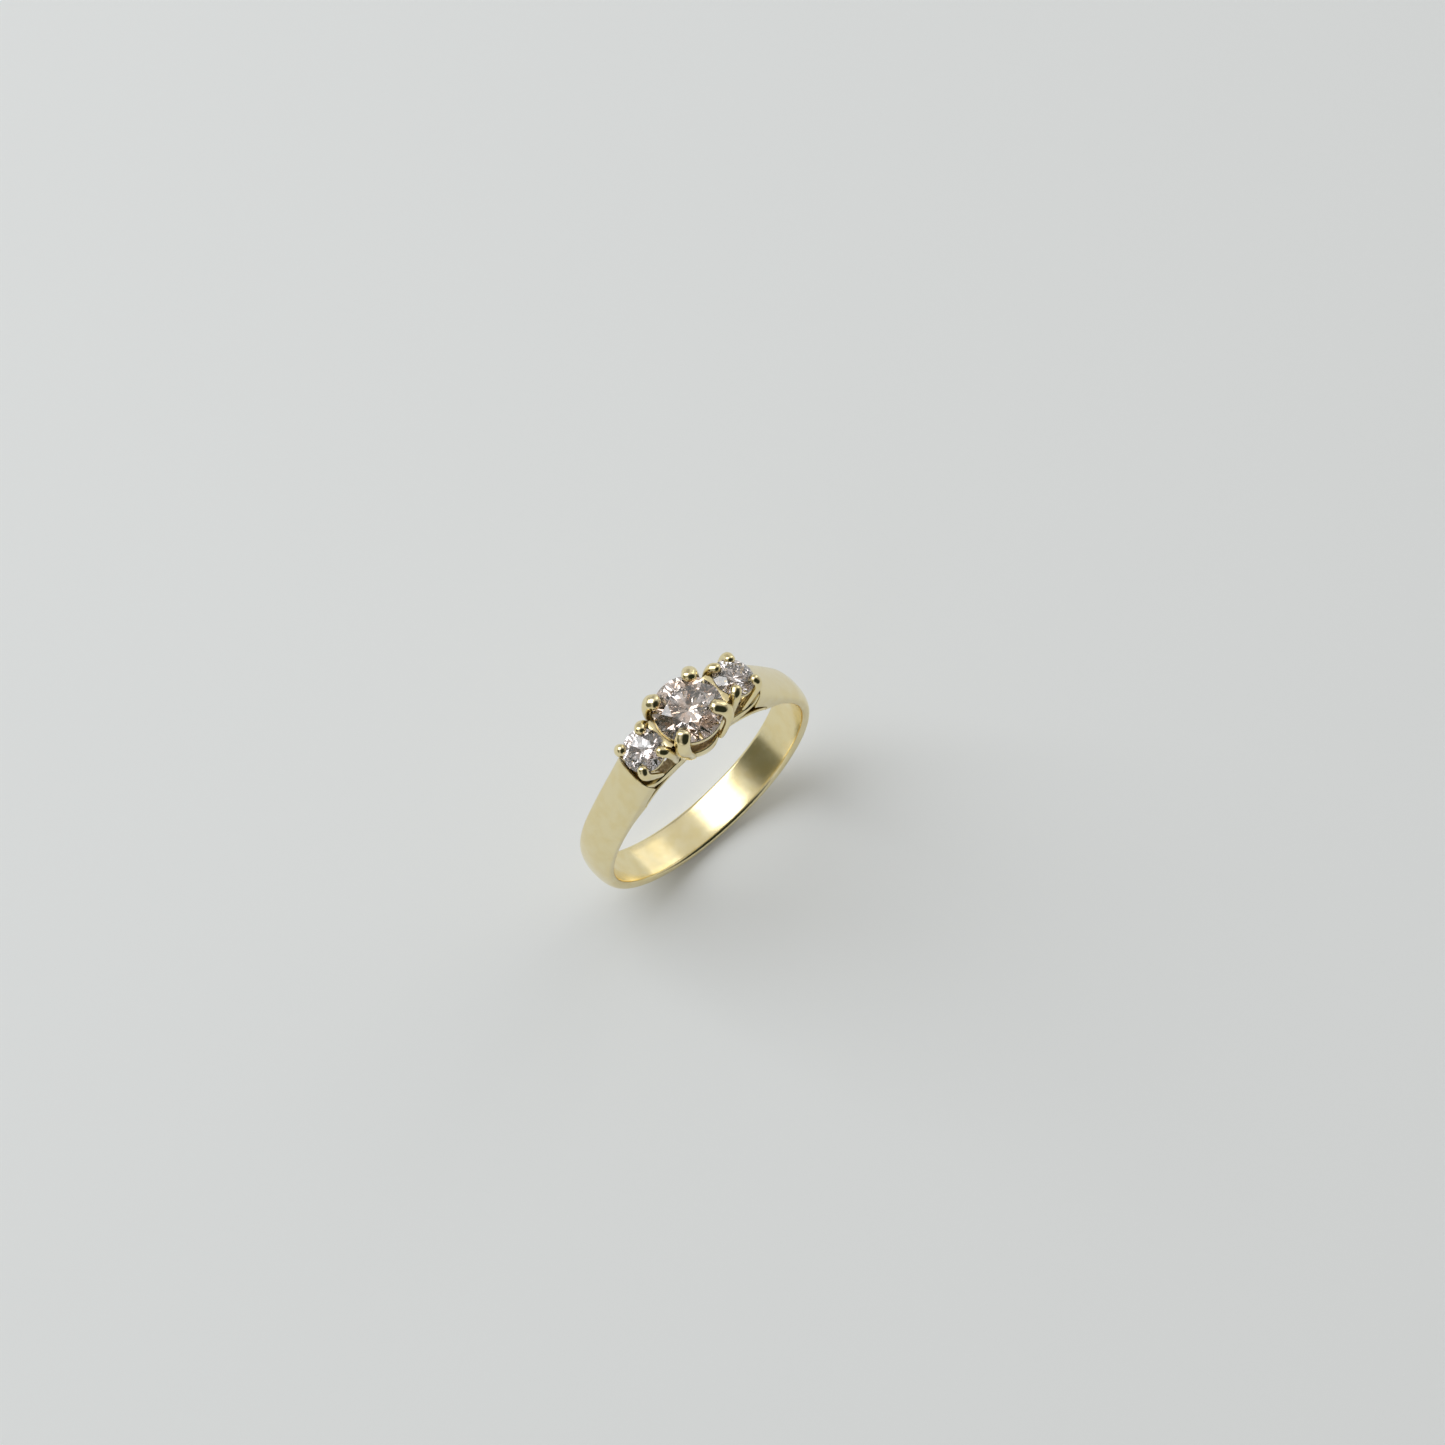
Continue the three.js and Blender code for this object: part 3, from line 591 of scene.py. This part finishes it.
def hole_cutter(stone, radius, flare=0.0):
    """Round cutter along a stone's axis, from half-way down its pavilion."""
    place, stone_radius = stone
    top = -PAVILION * stone_radius / 2
    sections = []
    for reach, z in ((radius + flare, top), (radius, top - HOLE_DEPTH)):
        turns = (2 * math.pi * i / HOLE_STEPS for i in range(HOLE_STEPS))
        circle = [(reach * math.cos(turn), reach * math.sin(turn)) for turn in turns]
        sections.append([place @ Vector((x, y, z)) for x, y in circle])
    return mesh_object("cutter", loft(sections))


def make_under_rail(stones):
    """Thin curved plate that closes the finger hole below the settings."""
    inner = FINGER_RADIUS
    outer = FINGER_RADIUS + RAIL_THICKNESS
    end = RAIL_SEAT - RAIL_END_GAP
    sections = []
    for i in range(STRIP_STEPS + 1):
        angle = mix(-end, end, i / STRIP_STEPS)
        half = mix(RAIL_HALF_WIDTH, RAIL_END_HALF_WIDTH, (abs(angle) / end) ** RAIL_FLARE_POWER)
        outline = rounded([(inner, -half), (inner, half), (outer, half), (outer, -half)], RAIL_ROUNDING)
        sections.append([polar(angle, p.x, p.y) for p in outline])
    piece = mesh_object("under_rail_plate", loft(sections))
    cutters = [
        hole_cutter(stone, CENTRE_RAIL_HOLE if name == "centre" else SIDE_RAIL_HOLE)
        for name, stone in stones.items()
    ]
    carve(piece, cutters)
    finish_piece(piece, "gold", [BRIGHT_GOLD], "under_rail")


def gallery_half_width(x):
    """Half width of the gallery at a place across the ring: straight, with a round middle."""
    bulge = math.sqrt(max(0.0, GALLERY_BULGE ** 2 - x * x))
    blend = GALLERY_BULGE_BLEND
    spread = max(0.0, blend - abs(bulge - GALLERY_HALF_WIDTH)) / blend
    return max(bulge, GALLERY_HALF_WIDTH) + spread * spread * blend / 4


def channel_cutter():
    """Cutter for the channel along the gallery's top, inside a narrow rim."""
    above = GALLERY_END_TOP + CHANNEL_HEADROOM
    sections = []
    for i in range(STRIP_STEPS + 1):
        angle = mix(-CHANNEL_END, CHANNEL_END, i / STRIP_STEPS)
        half = gallery_half_width(GALLERY_TOP * math.sin(math.radians(angle))) - CHANNEL_RIM
        floor = CHANNEL_FLOOR + CHANNEL_END_RISE * (abs(angle) / CHANNEL_END) ** CHANNEL_END_POWER
        wide = half + CHANNEL_TAPER
        corners = [(floor, -half), (floor, half), (above, wide), (above, -wide)]
        sections.append([polar(angle, p.x, p.y) for p in rounded(corners, CHANNEL_ROUNDING)])
    return mesh_object("cutter", loft(sections))


def make_gallery(stones):
    """Pierced strip from shoulder to shoulder that the claws stand on."""
    end = SHOULDER_END - GALLERY_END_GAP
    lowest = FINGER_RADIUS + RAIL_THICKNESS + GALLERY_RAIL_GAP
    sections = []
    for i in range(STRIP_STEPS + 1):
        angle = mix(-end, end, i / STRIP_STEPS)
        lifted = max(0.0, abs(angle) - GALLERY_LIFT) / (end - GALLERY_LIFT)
        under = mix(lowest, SHOULDER_UNDERSIDE_RADIUS, lifted)
        top = mix(GALLERY_TOP, GALLERY_END_TOP, (abs(angle) / end) ** GALLERY_END_POWER)
        half = gallery_half_width(top * math.sin(math.radians(angle)))
        waist = (under + top) / 2
        under_half = half - GALLERY_UNDER_TAPER
        top_half = half - GALLERY_TOP_TAPER
        corners = [(under, -under_half), (under, under_half), (waist, half), (top, top_half),
                   (top, -top_half), (waist, -half)]
        sections.append([polar(angle, p.x, p.y) for p in rounded(corners, GALLERY_ROUNDING)])
    piece = mesh_object("gallery_strip", loft(sections))
    cutters = [
        hole_cutter(stone, CENTRE_HOLE if name == "centre" else SIDE_HOLE, HOLE_FLARE)
        for name, stone in stones.items()
    ]
    carve(piece, [channel_cutter()] + cutters)
    finish_piece(piece, "gold", [BRIGHT_GOLD, CAST_GOLD_IN_PAINTED_SHADE], "gallery")
    cast_bottom = FINGER_RADIUS + RAIL_THICKNESS + CAST_LIFT
    cast_top = GALLERY_TOP - CAST_DROP
    for polygon in piece.data.polygons:
        place = polygon.center / MM - CENTRE
        inside = gallery_half_width(place.x) - CHANNEL_RIM - abs(place.y) > -CAST_MARGIN
        if inside and cast_bottom < math.hypot(place.x, place.z) < cast_top:
            polygon.material_index = 1  # the cast gold, darkened all over with painted shade


# ---- Stones ----

def stone_placement(name, tilt):
    """Placement of a stone at the middle of its girdle, and its radius, from its CAD box."""
    low, high = (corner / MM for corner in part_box(f"{name}_diamond"))
    radius = (high.y - low.y) / 2
    culet = (GIRDLE + PAVILION) * radius
    turn = math.radians(tilt)
    place = Vector(((low.x + high.x) / 2, (low.y + high.y) / 2, low.z + culet * math.cos(turn)))
    return Matrix.Translation(place) @ Matrix.Rotation(turn, 4, "Y"), radius


def facet_planes():
    """Facets of a round brilliant: a point's distance from the axis and height, an azimuth and a slope."""
    eighth = 45.0
    crown_slope = math.degrees(math.atan2(CROWN_HEIGHT, 1 - TABLE))
    crown_top = GIRDLE + CROWN_HEIGHT
    half_turn = math.cos(math.radians(eighth / 2))
    quarter_turn = math.cos(math.radians(eighth / 4))
    star_tip = GIRDLE + (1 - STAR_RADIUS * half_turn) * CROWN_HEIGHT / (1 - TABLE)
    star_slope = math.degrees(math.atan2(crown_top - star_tip, STAR_RADIUS - TABLE * half_turn))
    upper_rise = (star_tip - GIRDLE) / (quarter_turn - STAR_RADIUS * quarter_turn)
    lower_tip = (1 - LOWER_HALF_RADIUS * half_turn) * PAVILION
    lower_rise = lower_tip / (quarter_turn - LOWER_HALF_RADIUS * quarter_turn)
    planes = [(0.0, crown_top, 0.0, 0.0)]
    for i in range(8):
        main = i * eighth
        planes.append((1.0, GIRDLE, main, crown_slope))
        planes.append((TABLE * half_turn, crown_top, main + eighth / 2, star_slope))
        planes.append((1.0, -GIRDLE, main, -math.degrees(math.atan(PAVILION))))
        for side in (-1, 1):
            between = main + side * eighth / 4
            planes.append((quarter_turn, GIRDLE, between, math.degrees(math.atan(upper_rise))))
            planes.append((quarter_turn, -GIRDLE, between, -math.degrees(math.atan(lower_rise))))
    return planes


def brilliant(radius, place):
    """Round brilliant ground facet by facet from a fine round prism."""
    bm = bmesh.new()
    heights = (GIRDLE + CROWN_HEIGHT + ROUGH_SPARE, -GIRDLE - PAVILION - ROUGH_SPARE)
    rings = []
    for z in heights:
        turns = (2 * math.pi * i / GIRDLE_STEPS for i in range(GIRDLE_STEPS))
        rings.append([bm.verts.new((math.cos(turn), math.sin(turn), z)) for turn in turns])
    top, bottom = rings
    for i in range(GIRDLE_STEPS):
        j = (i + 1) % GIRDLE_STEPS
        bm.faces.new((bottom[i], bottom[j], top[j], top[i]))
    bm.faces.new(top)
    bm.faces.new(bottom[::-1])
    for distance, z, azimuth, slope in facet_planes():
        turn = math.radians(azimuth)
        tilt = math.radians(slope)
        outwards = Vector((math.cos(turn), math.sin(turn), 0.0))
        sign = 1.0 if slope >= 0 else -1.0
        normal = outwards * abs(math.sin(tilt)) + Vector((0, 0, sign * math.cos(tilt)))
        point = outwards * distance + Vector((0, 0, z))
        geometry = bm.verts[:] + bm.edges[:] + bm.faces[:]
        cut = bmesh.ops.bisect_plane(
            bm, geom=geometry, dist=CUT_TOLERANCE, plane_co=point, plane_no=normal, clear_outer=True)
        edges = [item for item in cut["geom_cut"] if isinstance(item, bmesh.types.BMEdge)]
        open_edges = [edge for edge in edges if edge.is_boundary]
        if open_edges:
            bmesh.ops.contextual_create(bm, geom=open_edges)
    bmesh.ops.remove_doubles(bm, verts=bm.verts[:], dist=WELD_DISTANCE)
    bmesh.ops.transform(bm, matrix=place @ Matrix.Scale(radius, 4), verts=bm.verts[:])
    return bm


def make_stone(name, stone):
    """One brilliant, with a frosted girdle."""
    place, radius = stone
    piece = mesh_object(f"{name}_brilliant", brilliant(radius * STONE_TRIM, place), FACET_SHARP_EDGE)
    finish_piece(piece, "centre_stone" if name == "centre" else "side_stone",
                 STONE_LOOKS[name], f"{name}_diamond")
    axis = place.to_3x3() @ Vector((0, 0, 1))
    for polygon in piece.data.polygons:
        if abs(polygon.normal.dot(axis)) < GIRDLE_LEAN:
            polygon.material_index = 1  # the frosted girdle


def make_bearing(name, stone):
    """Wire ring under the girdle, with its top edge cut to the slope of the pavilion."""
    place, radius = stone

    def seat(r):
        return min(BEARING_TOP, -GIRDLE - PAVILION * (1 - r) - BEARING_GAP)

    corners = [
        (BEARING_OUTER, BEARING_BOTTOM),
        (BEARING_OUTER, seat(BEARING_OUTER) - BEARING_EDGE_DROP),
        (BEARING_SHOULDER, seat(BEARING_SHOULDER)),
        (BEARING_INNER, seat(BEARING_INNER)),
        (BEARING_INNER, BEARING_BOTTOM),
    ]
    profile = [(p.x * radius, p.y * radius) for p in rounded(corners, BEARING_ROUNDING)]
    piece = mesh_object(f"{name}_bearing", lathe(profile, BEARING_STEPS, place))
    finish_piece(piece, "gold", [BRIGHT_GOLD], f"{name}_bearing_rail")


# ---- Claws ----

def curve_point(points, t):
    """Point on a smooth curve through points, for t from 0 to 1 (centripetal spline)."""
    padded = [points[0] * 2 - points[1]] + list(points) + [points[-1] * 2 - points[-2]]
    span = min(int(t * (len(points) - 1)), len(points) - 2)
    p0, p1, p2, p3 = padded[span:span + 4]
    knots = [0.0]
    for a, b in ((p0, p1), (p1, p2), (p2, p3)):
        knots.append(knots[-1] + max(SHORTEST_SPAN, (b - a).length) ** 0.5)
    k0, k1, k2, k3 = knots
    k = mix(k1, k2, t * (len(points) - 1) - span)
    a1 = p0.lerp(p1, (k - k0) / (k1 - k0))
    a2 = p1.lerp(p2, (k - k1) / (k2 - k1))
    a3 = p2.lerp(p3, (k - k2) / (k3 - k2))
    b1 = a1.lerp(a2, (k - k0) / (k2 - k0))
    b2 = a2.lerp(a3, (k - k1) / (k3 - k1))
    return b1.lerp(b2, (k - k1) / (k2 - k1))


def claw_ring(centre, tangent, side, width, depth):
    """Oval section of a claw, square to its path."""
    across = (side - tangent * side.dot(tangent)).normalized()
    outward = across.cross(tangent)
    turns = (2 * math.pi * i / CLAW_SIDES for i in range(CLAW_SIDES))
    offsets = ((depth * math.cos(turn), width * math.sin(turn)) for turn in turns)
    return [centre + outward * out + across * aside for out, aside in offsets]


def claw_bmesh(path, side, half_width, half_depth):
    """Claw from a flared foot up a slim leg to a full round tip."""
    sections = []
    for i in range(CLAW_STEPS + 1):
        t = i / CLAW_STEPS
        foot = (1 - t) ** FOOT_POWER
        here = curve_point(path, t)
        ahead = curve_point(path, min(1.0, t + CURVE_STEP))
        behind = curve_point(path, max(0.0, t - CURVE_STEP))
        tangent = (ahead - behind).normalized()
        closing = 1 - min(1.0, t / FOOT_ROUNDING)
        rounding = mix(FOOT_END, 1.0, math.sqrt(1 - closing * closing))
        width = half_width * mix(1.0, FOOT_WIDTH, foot) * rounding
        depth = half_depth * mix(1.0, FOOT_DEPTH, foot) * rounding
        sections.append(claw_ring(here, tangent, side, width, depth))
    tip = curve_point(path, 1.0)
    direction = (tip - curve_point(path, 1.0 - CURVE_STEP)).normalized()
    for i in range(1, CLAW_TIP_STEPS + 1):
        turn = math.radians(CLAW_TIP_TURN) * i / CLAW_TIP_STEPS
        centre = tip + direction * (half_depth * math.sin(turn))
        width = half_width * math.cos(turn)
        depth = half_depth * math.cos(turn)
        sections.append(claw_ring(centre, direction, side, width, depth))
    return loft(sections)


def make_claw(name, stone, claw, along, across):
    """One claw at a corner of a stone, with a notch where the girdle sits."""
    place, radius = stone
    degrees, lean, scale = CLAW_BENDS.get(name, PLAIN_BEND)
    turn = math.radians(degrees)
    reach = Vector((along * math.cos(turn), across * math.sin(turn), 0.0))
    count = len(claw["route"]) - 1
    path = []
    for i, (r, z) in enumerate(claw["route"]):
        leaned = r - lean * (i / count) ** LEAN_POWER
        path.append(place @ (reach * leaned + Vector((0, 0, z))))
    side = place.to_3x3() @ Vector((-across * math.sin(turn), along * math.cos(turn), 0.0))
    bm = claw_bmesh(path, side, claw["half_width"] * scale, claw["half_depth"] * scale)
    piece = mesh_object(name + "_prong", bm)
    seat = mesh_object("cutter", brilliant(radius + SEAT_GAP, place))
    carve(piece, [seat])
    finish_piece(piece, "gold", [BRIGHT_GOLD], name)


def make_claws(stones):
    """Four claws for each stone, named as in the CAD model."""
    for depth_name, across in (("front", -1), ("back", 1)):
        for side_name, along in (("left", -1), ("right", 1)):
            centre_name = f"centre_claw_{depth_name}_{side_name}"
            inner_name = f"{side_name}_claw_{depth_name}_inner"
            outer_name = f"{side_name}_claw_{depth_name}_outer"
            make_claw(centre_name, stones["centre"], CENTRE_CLAW, along, across)
            make_claw(inner_name, stones[side_name], INNER_CLAW, -along, across)
            make_claw(outer_name, stones[side_name], OUTER_CLAW, along, across)


# ---- Saddles ----

def make_saddle(side_name, stones):
    """Bar between the front and back claws where two settings meet, cut away round both stones."""
    low, high = (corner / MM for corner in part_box(f"{side_name}_saddle"))
    corners = [(low.x, low.z), (high.x, low.z), (high.x, high.z), (low.x, high.z)]
    outline = rounded(corners, SADDLE_ROUNDING)
    sections = []
    for i in range(SADDLE_STEPS + 1):
        y = mix(low.y, high.y, i / SADDLE_STEPS)
        sections.append([Vector((p.x, y, p.y)) for p in outline])
    piece = mesh_object(f"{side_name}_ledge", loft(sections))
    seats = []
    for name in ("centre", side_name):
        place, radius = stones[name]
        seats.append(mesh_object("cutter", brilliant(radius + SEAT_GAP, place)))
    carve(piece, seats)
    finish_piece(piece, "gold", [BRIGHT_GOLD], f"{side_name}_saddle")


# ---- Stage, light and camera ----

def make_floor():
    """Pale matt floor."""
    bm = bmesh.new()
    half = FLOOR_SIZE / MM / 2
    bmesh.ops.create_grid(bm, x_segments=FLOOR_SQUARES, y_segments=FLOOR_SQUARES, size=half)
    floor = mesh_object("floor", bm)
    material, tree, shader = new_material("pale_floor")
    position = add(tree, "ShaderNodeTexCoord").outputs["Object"]
    clouds = noise(tree, position, FLOOR_CLOUD_SCALE)
    clouded = tuple(FLOOR_CLOUDS * channel for channel in FLOOR_COLOUR[:3]) + (1.0,)
    colour = mix_colour(tree, clouds, FLOOR_COLOUR, clouded)
    tree.links.new(colour, shader.inputs["Base Color"])
    shader.inputs["Roughness"].default_value = 0.9
    shader.inputs["Specular IOR Level"].default_value = 0.15
    shader.inputs["Emission Color"].default_value = FLOOR_GLOW_COLOUR
    shader.inputs["Emission Strength"].default_value = FLOOR_GLOW
    floor.data.materials.append(material)


def make_world():
    """Pale clouded room with two dark parts, one in front and one low on the left."""
    world = bpy.data.worlds.new("room")
    bpy.context.scene.world = world
    world.use_nodes = True
    tree = world.node_tree
    tree.nodes.clear()
    direction = add(tree, "ShaderNodeTexCoord").outputs["Generated"]
    clouds = noise(tree, direction, ROOM_CLOUD_SCALE, detail=1.0)
    colour = mix_colour(tree, map_range(tree, clouds, 0.42, 0.58), ROOM_LIGHT, ROOM_SHADE)
    for towards, wide, narrow, dark in DARK_PLACES:
        place = Vector(towards).normalized()
        facing = add(tree, "ShaderNodeVectorMath", {0: direction, 1: place}, operation="DOT_PRODUCT")
        shade = map_range(tree, facing.outputs["Value"], wide, narrow)
        colour = mix_colour(tree, shade, colour, dark)
    background = add(tree, "ShaderNodeBackground", {"Color": colour, "Strength": 1.0})
    output = add(tree, "ShaderNodeOutputWorld")
    tree.links.new(background.outputs[0], output.inputs["Surface"])


def make_light(name, direction, distance, size, power, colour):
    """Rectangular area light that faces the ring from a direction."""
    data = bpy.data.lights.new(name, "AREA")
    data.shape = "RECTANGLE"
    data.size, data.size_y = size
    data.energy = power
    data.color = colour
    light = bpy.data.objects.new(name, data)
    middle = CENTRE * MM
    away = Vector(direction).normalized()
    light.location = middle + away * distance
    light.rotation_euler = away.to_track_quat("Z", "Y").to_euler()
    bpy.context.scene.collection.objects.link(light)


def make_camera():
    """Camera at the photograph's viewing angle, aimed a little off the finger hole's middle."""
    azimuth, elevation, roll = (math.radians(v) for v in (VIEW_AZIMUTH, VIEW_ELEVATION, VIEW_ROLL))
    back = Vector((math.sin(azimuth) * math.cos(elevation), -math.cos(azimuth) * math.cos(elevation),
                   math.sin(elevation)))
    level = Vector((math.cos(azimuth), math.sin(azimuth), 0.0))
    upright = back.cross(level)
    right = level * math.cos(roll) + upright * math.sin(roll)
    up = upright * math.cos(roll) - level * math.sin(roll)
    eye = CENTRE + back * VIEW_DISTANCE
    aim = CENTRE + right * AIM_RIGHT + up * AIM_UP
    back = (eye - aim).normalized()
    right = (right - back * right.dot(back)).normalized()
    up = back.cross(right)
    data = bpy.data.cameras.new("camera")
    data.sensor_width = SENSOR_WIDTH
    data.lens = SENSOR_WIDTH * VIEW_DISTANCE / FIELD_WIDTH
    data.clip_start = 0.01
    data.clip_end = 50.0
    camera = bpy.data.objects.new("camera", data)
    camera.matrix_world = Matrix.Translation(eye * MM) @ Matrix((right, up, back)).transposed().to_4x4()
    bpy.context.scene.collection.objects.link(camera)
    bpy.context.scene.camera = camera


stones = {name: stone_placement(name, tilt) for name, tilt in STONES.items()}
make_camera()
make_shank()
make_under_rail(stones)
make_gallery(stones)
for name, stone in stones.items():
    make_stone(name, stone)
    make_bearing(name, stone)
make_claws(stones)
make_saddle("left", stones)
make_saddle("right", stones)
make_floor()
make_world()
make_light("window", **WINDOW)
make_light("side_card", **SIDE_CARD)

scene = bpy.context.scene
scene.view_settings.view_transform = "Standard"
scene.cycles.glossy_bounces = 12
scene.cycles.transmission_bounces = 16
scene.cycles.max_bounces = 18
